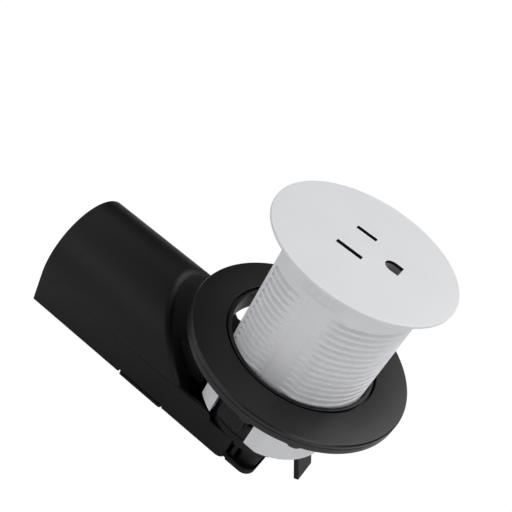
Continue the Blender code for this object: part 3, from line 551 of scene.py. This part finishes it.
def side_corner(radius, inset=0.0):
    """Azimuth at which a circle round the axis meets the flattened side."""
    x = (SIDE_CENTRE_X ** 2 + radius ** 2 - (SIDE_RADIUS - inset) ** 2) / (2.0 * SIDE_CENTRE_X)
    return math.degrees(math.acos(x / radius))


def sided_radius(azimuth, radius, inset):
    return min(radius, side_limit(azimuth, inset)) if abs(azimuth) > 120.0 else radius


def barrel_radius(azimuth, radius):
    """Outline of the barrel: round, with a flat and a raised strip at the front and at the back."""
    turn = math.radians(azimuth)
    outline = sided_radius(azimuth, radius, 0.0)
    if abs(math.sin(turn)) < 0.5:
        return outline
    outline = min(outline, FRONT_FLAT / abs(math.sin(turn)))
    offset = abs(outline * math.cos(turn))
    raised = min(1.0, max(0.0, (STRIP_HALF + STRIP_SLOPE - offset) / STRIP_SLOPE))
    return outline + STRIP_HEIGHT * raised


def barrel_profile(azimuth):
    """Closed profile: down the plain collar and the threaded outside, up the bore."""
    collar = sided_radius(azimuth, CREST, 0.0)
    rows = [(collar, BARREL.z1), (collar, COLLAR_BOTTOM)]
    steps = (THREAD_ROWS + 1) * ROW_STEPS
    for step in range(steps + 1):
        z = THREAD_TOP + RUN_IN - (THREAD_ROWS + 1) * PITCH * step / steps
        depth = GROOVE_DEPTH * thread_cut(azimuth, z)
        rows.append((barrel_radius(azimuth, CREST - depth), z))
    outside = barrel_radius(azimuth, CREST)
    rows += [(outside, BARREL.z0 + 0.3), (outside - 0.3, BARREL.z0)]
    bore = sided_radius(azimuth, BORE, SIDE_WALL)
    rows += [(bore, BARREL.z0), (bore, BARREL.z1)]
    return rows


def make_barrel():
    """The barrel with a true helical thread, cut flats, foot windows, side notch and catch window."""
    crest = math.degrees(math.asin(FRONT_FLAT / CREST))
    side = side_corner(CREST)
    inner = side_corner(BORE, SIDE_WALL)
    strip = [math.degrees(math.acos(x / FRONT_FLAT)) for x in (STRIP_HALF, STRIP_HALF + STRIP_SLOPE)]
    strip += [180.0 - mark for mark in strip]
    marks = [crest, 180 - crest, side, inner, LAND_EDGE - 0.25, LAND_EDGE + 0.01] + strip
    azimuths = even_azimuths(300, [mark * sign for mark in marks for sign in (1, -1)])
    barrel = new_object("barrel", add_turned(bmesh.new(), barrel_profile, azimuths, True))
    barrel.data.materials.append(MATERIALS["white_shell"])
    foot = (BARREL.z0 - 2.0, FOOT_TOP)
    openings = bmesh.new()
    for y in ((FOOT_WINDOW_Y, OUTSIDE), (-OUTSIDE, -FOOT_WINDOW_Y)):
        add_box(openings, FOOT_WINDOW_X, y, foot)
    notch = (foot[0], foot[1] - 0.5)
    add_box(openings, (-OUTSIDE, SIDE_NOTCH_X), (-SIDE_NOTCH_HALF, SIDE_NOTCH_HALF), notch)
    add_box(openings, (CATCH_X, OUTSIDE), (LEVER.y0 + 0.8, LEVER.y1 - 0.8), CATCH_Z)
    combine(barrel, cutter("barrel_openings", openings, MATERIALS["white_shell"]))
    settle(barrel, 40.0)
    return stand_for(barrel, "threaded_barrel")


def make_washer():
    """The flat pressure plate, with a narrow chamfer round its top."""
    corners = [
        (RING_BORE, WASHER.z1),
        (RING_RADIUS - CHAMFER_WIDTH, WASHER.z1),
        (RING_RADIUS, WASHER.z1 - CHAMFER_DROP),
        (RING_RADIUS, WASHER.z0),
        (RING_BORE, WASHER.z0),
    ]
    profile = soften(corners, [0.2, 0.12, 0.12, 0.1, 0], closed=True)
    mesh = add_turned(bmesh.new(), lambda _: profile, even_azimuths(288), True)
    washer = new_object("washer", mesh)
    washer.data.materials.append(MATERIALS["ring_black"])
    shade(washer)
    return stand_for(washer, "pressure_plate")


def lug_drop(azimuth):
    """How far the nut's rim reaches down at its grip lugs, which stand in pairs."""
    depth = 0.0
    for pair in range(LUG_PAIRS):
        for first in (LUG_FIRST, LUG_FIRST + LUG_PAIR):
            middle = first + pair * 360.0 / LUG_PAIRS
            offset = abs((azimuth - middle + 180.0) % 360.0 - 180.0)
            ramp = min(1.0, max(0.0, (LUG_HALF + LUG_RAMP - offset) / LUG_RAMP))
            depth = max(depth, LUG_DEPTH * ramp * ramp * (3.0 - 2.0 * ramp))
    return depth


def nut_profile(azimuth):
    """Closed profile: up through the washer's bore, out along the flange, down round the hub."""
    lug_bottom = NUT_BOTTOM - lug_drop(azimuth)
    hub_top, hub_bottom = WASHER.z1 - 0.1, NUT_BOTTOM - HUB_DEPTH
    corners = [
        (HUB_BORE, hub_top),
        (HUB_RADIUS, hub_top),
        (HUB_RADIUS, NUT_TOP),
        (RING_RADIUS, NUT_TOP),
        (RING_RADIUS, lug_bottom),
        (RING_RADIUS - 3.5, lug_bottom),
        (RING_RADIUS - 4.5, NUT_BOTTOM),
        (HUB_RADIUS + 2.5, NUT_BOTTOM),
        (HUB_RADIUS + 1.8, hub_bottom),
        (HUB_BORE, hub_bottom),
    ]
    return soften(corners, [0.35, 0.15, 0, 0.15, 0.3, 0.25, 0.2, 0.2, 0.3, 0.2], closed=True)


def make_nut():
    """The nut: a flange with grip lugs, and a hub that reaches up inside the washer."""
    nut = new_object("nut", add_turned(bmesh.new(), nut_profile, even_azimuths(360), True))
    nut.data.materials.append(MATERIALS["ring_black"])
    shade(nut)
    return stand_for(nut, "clamp_nut")


# The sleeve.

def arch_outline(half, rise, bottom, steps=90):
    """Arched section in YZ: half an ellipse on two straight sides."""
    points = []
    for step in range(steps + 1):
        turn = math.pi * step / steps
        points.append((half * math.cos(turn), SLEEVE_CENTRE + rise * math.sin(turn)))
    return points + [(-half, bottom), (half, bottom)]


def above_sleeve_side():
    """The region, in XZ, above the slope and the stepped upper edge of the side walls."""
    return [
        (-FAR, SLOPE_SUM + FAR),
        (SLOPE_SUM - WALL_HIGH, WALL_HIGH),
        *arc(STEP_RADIUS, 90, 0, 10, (STEP_X, WALL_HIGH - STEP_RADIUS)),
        (STEP_X + STEP_RADIUS, WALL_LOW),
        (FAR, WALL_LOW),
        (FAR, FAR),
        (-FAR, FAR),
    ]


def inside_sleeve_side():
    """The hollow of the sleeve in XZ, on both sides of the sloped wall and under its foot."""
    shift = SLOPE_SUM - SLEEVE_WALL * math.sqrt(2.0)
    left, right, crown, above = SLEEVE.x0 - 5.0, SLEEVE.x1 + 5.0, -38.0, WALL_HIGH + 3.0
    floor = SLEEVE.z0 - 15.0
    outer = SLOPE_SUM - WALL_HIGH
    return [
        (left, floor),
        (right, floor),
        (right, above),
        (outer, above),
        (outer, WALL_HIGH),
        (SLOPE_SUM - WALL_LOW, WALL_LOW),
        (shift - WALL_LOW, WALL_LOW),
        (shift - crown, crown),
        (left, crown),
    ]


def bevel_edges(obj, chosen, width, segments):
    """Rounds only the sharp edges whose two ends, in millimetres, pass the test."""
    mesh = bmesh.new()
    mesh.from_mesh(obj.data)
    sharp = math.radians(25.0)
    edges = []
    for edge in mesh.edges:
        first, second = [vertex.co / MM for vertex in edge.verts]
        if edge.calc_face_angle() > sharp and chosen(first, second):
            edges.append(edge)
    bmesh.ops.bevel(mesh, geom=edges, offset=width * MM, segments=segments, profile=0.5,
                    affect="EDGES", clamp_overlap=True)
    mesh.to_mesh(obj.data)
    mesh.free()


def on_slope_rim(first, second):
    """True for an edge between the sloped wall and the arch, above the side walls' top."""
    on_slope = all(abs(end.x + end.z - SLOPE_SUM) < 0.02 for end in (first, second))
    return on_slope and max(first.z, second.z) > WALL_HIGH + 0.1


def sleeve_corners():
    """What is cut away to round the sleeve's two upright corners at the barrel."""
    inset, beyond = SLEEVE.x1 - SLEEVE_CORNER, SLEEVE.x1 + 4.0
    plan = arc(SLEEVE_CORNER, 0, 90, 10, (inset, SLEEVE.y1 - SLEEVE_CORNER))
    waste = [(beyond, 5.0), (SLEEVE.x1, 5.0), *plan, (inset, FAR), (beyond, FAR)]
    mesh = bmesh.new()
    for side in (1, -1):
        add_prism(mesh, [(x, side * y) for x, y in waste], SLEEVE.z0 - 9.0, WALL_HIGH + 9.0)
    return black_cutter("sleeve_corners", mesh)


def sleeve_hollow():
    """The room inside the sleeve."""
    inner = arch_outline(SLEEVE.y1 - SLEEVE_WALL, SLEEVE_RISE - SLEEVE_WALL, SLEEVE.z0 - 14.0)
    hollow = black_piece("hollow", add_prism(bmesh.new(), inner, SLEEVE.x0 - 12.0, 12.0, "X"))
    side = add_prism(bmesh.new(), inside_sleeve_side(), -FAR, FAR, "Y")
    combine(hollow, black_cutter("hollow_side", side), "INTERSECT")
    return settle(hollow)


def duct_window(half, low, high):
    """The opening in the slope for one step of the duct, a hair wider than the duct."""
    side = half + SHADOW_GAP
    heights = (low - SHADOW_GAP, high + SHADOW_GAP)
    return black_cutter("duct_window", add_box(bmesh.new(), DUCT_WINDOW_X, (-side, side), heights))


def latch_notches():
    """The two notches in the sleeve's lower edge that show the latch."""
    length = (LATCH.x0 - LATCH_ROOM, LATCH.x1 + LATCH_ROOM)
    height = (SLEEVE.z0 - 14.0, LATCH_TOP + LATCH_ROOM)
    return black_cutter("latch_notches", add_box(bmesh.new(), length, (-FAR, FAR), height))


def make_sleeve():
    """The arched cover: sloped end wall with a rounded rim, stepped side walls, open end."""
    outline = arch_outline(SLEEVE.y1, SLEEVE_RISE, SLEEVE.z0)
    sleeve = black_piece("sleeve", add_prism(bmesh.new(), outline, SLEEVE.x0, SLEEVE.x1, "X"))
    above = add_prism(bmesh.new(), above_sleeve_side(), -FAR, FAR, "Y")
    combine(sleeve, black_cutter("above_sleeve", above))
    settle(sleeve)
    bevel_edges(sleeve, on_slope_rim, 1.7, 7)
    combine(sleeve, sleeve_corners())
    combine(sleeve, sleeve_hollow())
    combine(sleeve, duct_window(DUCT.y1, DUCT.z0, DUCT_SHOULDER))
    combine(sleeve, duct_window(DUCT_TOP_HALF, DUCT_SHOULDER - 1.0, DUCT.z1))
    combine(sleeve, latch_notches())
    bevel(sleeve, 0.3, 2, 40.0)
    settle(sleeve)
    even_normals(sleeve)
    return stand_for(sleeve, "cover_sleeve")


# The barrel's foot: cup and duct.

def clipped_circle(radius, x_low, x_high, steps):
    """A circle kept only between two values of x."""
    start = math.degrees(math.acos(min(1.0, x_high / radius)))
    end = math.degrees(math.acos(max(-1.0, x_low / radius)))
    upper = arc(radius, start, end, steps)
    lower = [(x, -y) for x, y in reversed(upper)]
    if x_high >= radius:
        lower = lower[:-1]
    return upper + lower


def sided_circle(radius, inset, steps=120):
    """A circle whose -X side is flattened like the barrel's."""
    points = []
    for azimuth in even_azimuths(steps, [side_corner(radius, inset), -side_corner(radius, inset)]):
        turn, reach = math.radians(azimuth), sided_radius(azimuth, radius, inset)
        points.append((reach * math.cos(turn), reach * math.sin(turn)))
    return points


def rounded_block(name, outline, low, high, axis, radius, segments=5):
    """A small prism with all its edges rounded, to be joined to a larger piece."""
    block = black_piece(name, add_prism(bmesh.new(), outline, low, high, axis))
    bevel(block, radius, segments, 30.0, clamp=True)
    settle(block)
    block.hide_render = True
    return block


def make_cup():
    """The cup in the barrel's foot, with a snap block and a small post in each foot window."""
    bottom = LID.z1 + SHADOW_GAP
    outline = sided_circle(CUP_RADIUS, CUP_INSET)
    cup = black_piece("foot_cup", add_prism(bmesh.new(), outline, bottom, CHASSIS.z1))
    inside = sided_circle(CUP_RADIUS - CUP_WALL, CUP_INSET + CUP_WALL)
    hollow = add_prism(bmesh.new(), inside, bottom + CUP_WALL, CHASSIS.z1 + 5.0)
    combine(cup, black_cutter("cup_hollow", hollow))
    openings = bmesh.new()
    passage = DUCT.y1 - CUP_WALL
    heights = (DUCT.z0 + CUP_WALL, DUCT_SHOULDER - CUP_WALL)
    add_box(openings, CUP_DUCT_X, (-passage, passage), heights)
    add_box(openings, CUP_LEVER_X, (LEVER.y0 - 1.0, LEVER.y1 + 1.0), (bottom - 2.0, CUP_LEVER_TOP))
    combine(cup, black_cutter("cup_openings", openings))
    snap = ("snap", rounded_rectangle(*SNAP_X, *SNAP_Z, 1.6), 0.9)
    post = ("post", rectangle(*POST_X, *POST_Z), 0.5)
    for side in (1, -1):
        low, high = sorted(side * y for y in SNAP_FACE)
        for name, shape, radius in (snap, post):
            combine(cup, rounded_block(f"{name}_{side}", shape, low, high, "Y", radius), "UNION")
    settle(cup)
    return stand_for(cup, "barrel_chassis")


def duct_side(low, high):
    """Side view of the duct in XZ between two heights, mitred like the slope."""
    return [(DUCT.x1, low), (DUCT.x1, high), (DUCT_SUM - high, high), (DUCT_SUM - low, low)]


def make_duct():
    """The closed passage into the slope, with a narrower raised top."""
    body = duct_side(DUCT.z0, DUCT_SHOULDER)
    duct = black_piece("duct", add_prism(bmesh.new(), body, DUCT.y0, DUCT.y1, "Y"))
    bevel(duct, 0.2, 2)
    settle(duct)
    raised = duct_side(DUCT_SHOULDER - 1.0, DUCT.z1)
    top = black_piece("duct_top", add_prism(bmesh.new(), raised, -DUCT_TOP_HALF, DUCT_TOP_HALF, "Y"))
    bevel(top, 0.2, 3)
    settle(top)
    top.hide_render = True
    combine(duct, top, "UNION")
    settle(duct)
    even_normals(duct)
    return stand_for(duct, "cable_duct")


# The base: lid, tray and lever.

def make_lid():
    """The thin lid under the barrel, its stepped skirt and the two lever ears."""
    outline = clipped_circle(LID_RADIUS, LID.x0, LID_END, 90)
    lid = black_piece("lid", add_prism(bmesh.new(), outline, LID_BOTTOM, LID.z1))
    skirt_end, inset = LID_END - 1.6, 0.25
    skirt = clipped_circle(LID_RADIUS - inset, SLEEVE.x1 + 0.1, skirt_end, 60)
    skirt = add_prism(bmesh.new(), skirt, SKIRT_BOTTOM, LID_BOTTOM + 0.2)
    combine(lid, black_cutter("lid_skirt", skirt), "UNION")
    root, foot, top = LID_END - 1.5, DESK - 73.0, DESK - 69.3
    ear_shape = [(root, foot), (PIVOT[0], foot - 0.8), *arc(2.2, -80, 60, 10, PIVOT), (root, top)]
    for low in (LEVER.y0 - EAR_GAP - EAR_THICK, LEVER.y1 + EAR_GAP):
        ear = rounded_block(f"ear_{low:.0f}", ear_shape, low, low + EAR_THICK, "Y", 0.25, 3)
        combine(lid, ear, "UNION")
    holes = add_prism(bmesh.new(), circle(PIN_HOLE, 32, PIVOT), LEVER.y0 - 6.0, LEVER.y1 + 6.0, "Y")
    for screw in BASE_SCREWS:
        add_prism(holes, circle(SCREW_HOLE, 32, screw), SKIRT_BOTTOM - 2.0, LID.z1 + 2.0)
    combine(lid, black_cutter("lid_holes", holes))
    settle(lid)
    return stand_for(lid, "base_lid")


def tray_outline(half, end, corner, left):
    """A plan that is square on the left and has rounded corners on the right."""
    right = arc(corner, 0, 90, 14, (end - corner, half - corner))
    return right + [(left, half), (left, -half)] + [(x, -y) for x, y in reversed(right)]


def make_tray():
    """The floor of the base: a wide flange past the sleeve's end, and a rounded inner wall."""
    bottom, top = TRAY.z0, TRAY.z0 + TRAY_FLOOR
    outline = tray_outline(TRAY_INNER_HALF, TRAY.x1, TRAY_CORNER, TRAY.x0)
    tray = black_piece("tray", add_prism(bmesh.new(), outline, bottom, top))
    flange = tray_outline(TRAY.y1, TRAY.x1, TRAY_CORNER, SLEEVE.x1 + 0.3)
    combine(tray, rounded_block("tray_flange", flange, bottom, top, "Z", 0.35, 3), "UNION")
    wall_top = SKIRT_BOTTOM - 0.1
    wall = tray_outline(TRAY_WALL_HALF, TRAY_WALL_END, 3.4, 4.8)
    wall = add_prism(bmesh.new(), wall, top - 0.4, wall_top)
    combine(tray, black_cutter("tray_wall", wall), "UNION")
    hollow = tray_outline(TRAY_WALL_HALF - TRAY_WALL, TRAY_WALL_END - TRAY_WALL, 2.0, 1.0)
    hollow = add_prism(bmesh.new(), hollow, top, wall_top + 5.0)
    combine(tray, black_cutter("tray_hollow", hollow))
    fittings = bmesh.new()
    for screw in BASE_SCREWS:
        add_prism(fittings, circle(SCREW_BOSS, 48, screw), top - 0.4, wall_top)
    for side in (1, -1):
        add_box(fittings, (1.8, 3.2), sorted((side * 16.6, side * 18.2)), (top - 0.4, POST_TOP))
        add_box(fittings, (-78.0, -24.0), sorted((side * 17.0, side * 18.1)), (top - 0.4, top + RAIL_HEIGHT))
    combine(tray, black_cutter("tray_fittings", fittings), "UNION")
    drills = bmesh.new()
    recesses = bmesh.new()
    for screw in BASE_SCREWS:
        add_prism(drills, circle(SCREW_HOLE, 32, screw), bottom - 9.0, wall_top + 9.0)
        add_prism(recesses, circle(SCREW_HEAD, 40, screw), bottom - 9.0, SCREW_HEAD_TOP)
    length = (LATCH.x0 - LATCH_ROOM, LATCH.x1 + LATCH_ROOM)
    add_box(recesses, length, (-25.0, 25.0), (bottom - 9.0, LATCH_TOP + LATCH_ROOM))
    combine(tray, black_cutter("tray_holes", drills))
    combine(tray, black_cutter("tray_recesses", recesses))
    settle(tray)
    return stand_for(tray, "base_tray")


def lever_outline():
    """Side view of the lever in XZ: hub, splayed finger, back and catch nose."""
    lean = math.radians(FINGER_LEAN)
    down = Vector((math.sin(lean), -math.cos(lean)))
    across = Vector((math.cos(lean), math.sin(lean))) * FINGER_THICK
    root = Vector((FINGER_X, FINGER_TOP))
    tip = root + down * ((root.y - TRAY.z0) / math.cos(lean) - 0.2)
    nose_low, nose, nose_high = DESK - 66.0, DESK - 65.7, DESK - 63.9
    return [
        *arc(1.95, 150, 260, 10, PIVOT),
        (PIVOT[0] + 2.2, FINGER_TOP),
        tuple(root),
        tuple(tip),
        tuple(tip + across),
        tuple(root + across),
        (LEVER_BACK, PIVOT[1]),
        (LEVER_BACK, nose_low),
        (NOSE_X, nose),
        (LEVER_BACK, nose_high),
        (LEVER_BACK - LEVER_THICK, nose_high),
        (LEVER_BACK - LEVER_THICK, DESK - 69.4),
        (PIVOT[0] + 1.0, DESK - 69.6),
    ]


def make_lever():
    """The release lever, with all its edges rounded."""
    lever = black_piece("lever", add_prism(bmesh.new(), lever_outline(), LEVER.y0, LEVER.y1, "Y"))
    narrow = bmesh.new()
    for y in ((LEVER.y0 - 1.0, LEVER.y0 + 1.6), (LEVER.y1 - 1.6, LEVER.y1 + 1.0)):
        add_box(narrow, (17.8, 24.0), y, (DESK - 68.9, DESK - 60.0))
    combine(lever, black_cutter("lever_nose", narrow))
    bevel(lever, 0.35, 3, 35.0, clamp=True)
    bore = add_prism(bmesh.new(), circle(PIN_HOLE, 32, PIVOT), LEVER.y0 - 6.0, LEVER.y1 + 6.0, "Y")
    combine(lever, black_cutter("lever_bore", bore))
    settle(lever)
    even_normals(lever)
    return stand_for(lever, "release_lever")


def make_floor():
    """A plain pale floor: the camera sees it even and white, and it still lights the object."""
    mesh = bmesh.new()
    add_box(mesh, (-3000.0, 3000.0), (-3000.0, 3000.0), (LATCH.z0 - 11.0, LATCH.z0 - 1.0))
    floor = new_object("floor", mesh)
    material, tree, shader = node_tree("floor_paint")
    shader.inputs["Base Color"].default_value = (0.85, 0.85, 0.86, 1.0)
    shader.inputs["Roughness"].default_value = 0.7
    glow = tree.nodes.new("ShaderNodeEmission")
    glow.inputs["Strength"].default_value = 1.02
    path = tree.nodes.new("ShaderNodeLightPath")
    mix = tree.nodes.new("ShaderNodeMixShader")
    tree.links.new(path.outputs["Is Camera Ray"], mix.inputs["Fac"])
    tree.links.new(shader.outputs["BSDF"], mix.inputs[1])
    tree.links.new(glow.outputs["Emission"], mix.inputs[2])
    tree.links.new(mix.outputs["Shader"], tree.nodes["Material Output"].inputs["Surface"])
    floor.data.materials.append(material)


# Light and camera.

CAMERA_PLACE = (23.2, -184.17, 107.31)
CAMERA_TURN = (51.518, -23.373, 32.700)
CAMERA_LENS = 53.88
SENSOR = 36.0
TARGET = (-22.0, 0.0, -42.0)
SOFTBOX_DISTANCE, SOFTBOX_SIZE = 0.8, 0.44


def make_camera():
    data = bpy.data.cameras.new("camera")
    data.lens = CAMERA_LENS
    data.sensor_width = SENSOR
    data.clip_start = 0.01
    camera = bpy.data.objects.new("camera", data)
    camera.location = [value * MM for value in CAMERA_PLACE]
    camera.rotation_euler = [math.radians(value) for value in CAMERA_TURN]
    bpy.context.scene.collection.objects.link(camera)
    bpy.context.scene.camera = camera


def softbox(name, azimuth_deg, elevation_deg, power):
    """A square area light that faces the object from a bearing; azimuth 0 is the front, 90 the right."""
    turn, rise = math.radians(azimuth_deg), math.radians(elevation_deg)
    direction = Vector((math.sin(turn) * math.cos(rise), -math.cos(turn) * math.cos(rise), math.sin(rise)))
    data = bpy.data.lights.new(name, "AREA")
    data.shape = "SQUARE"
    data.size = SOFTBOX_SIZE
    data.energy = power
    light = bpy.data.objects.new(name, data)
    light.location = Vector(TARGET) * MM + direction * SOFTBOX_DISTANCE
    light.rotation_euler = direction.to_track_quat("Z", "Y").to_euler()
    bpy.context.scene.collection.objects.link(light)


def make_world():
    """Hardly any light comes from all round: the softboxes light the object."""
    world = bpy.data.worlds.new("studio")
    world.use_nodes = True
    background = world.node_tree.nodes["Background"]
    background.inputs["Color"].default_value = (0.95, 0.96, 1.0, 1.0)
    background.inputs["Strength"].default_value = 0.01
    bpy.context.scene.world = world


SOFTBOXES = {
    "right": (60.0, 30.0, 1.4),
    "right_high": (90.0, 62.0, 1.15),
    "right_back": (120.0, 42.0, 0.4),
    "back_right_high": (135.0, 62.0, 0.9),
    "back_right": (150.0, 42.0, 1.5),
    "back_low": (150.0, 6.0, 0.2),
    "back": (180.0, 42.0, 0.2),
    "back_left": (240.0, 42.0, 0.5),
    "left": (270.0, 42.0, 0.6),
    "front_left": (300.0, 42.0, 0.45),
    "front_left_low": (285.0, 6.0, 0.6),
    "front": (330.0, 24.0, 0.8),
    "front_high": (0.0, 62.0, 0.1),
    "front_low": (0.0, 6.0, 0.4),
    "front_right_low": (30.0, 6.0, 0.2),
}


def make_lights():
    """A tent of large softboxes, brightest on the right and behind it."""
    for name, (azimuth, elevation, power) in SOFTBOXES.items():
        softbox(name, azimuth, elevation, power)


def main():
    paint_frame()
    make_plate()
    make_barrel()
    make_washer()
    make_nut()
    make_sleeve()
    make_cup()
    make_duct()
    make_lid()
    make_tray()
    make_lever()
    make_floor()
    make_world()
    make_lights()
    make_camera()
    bpy.context.scene.view_settings.view_transform = "Standard"


main()
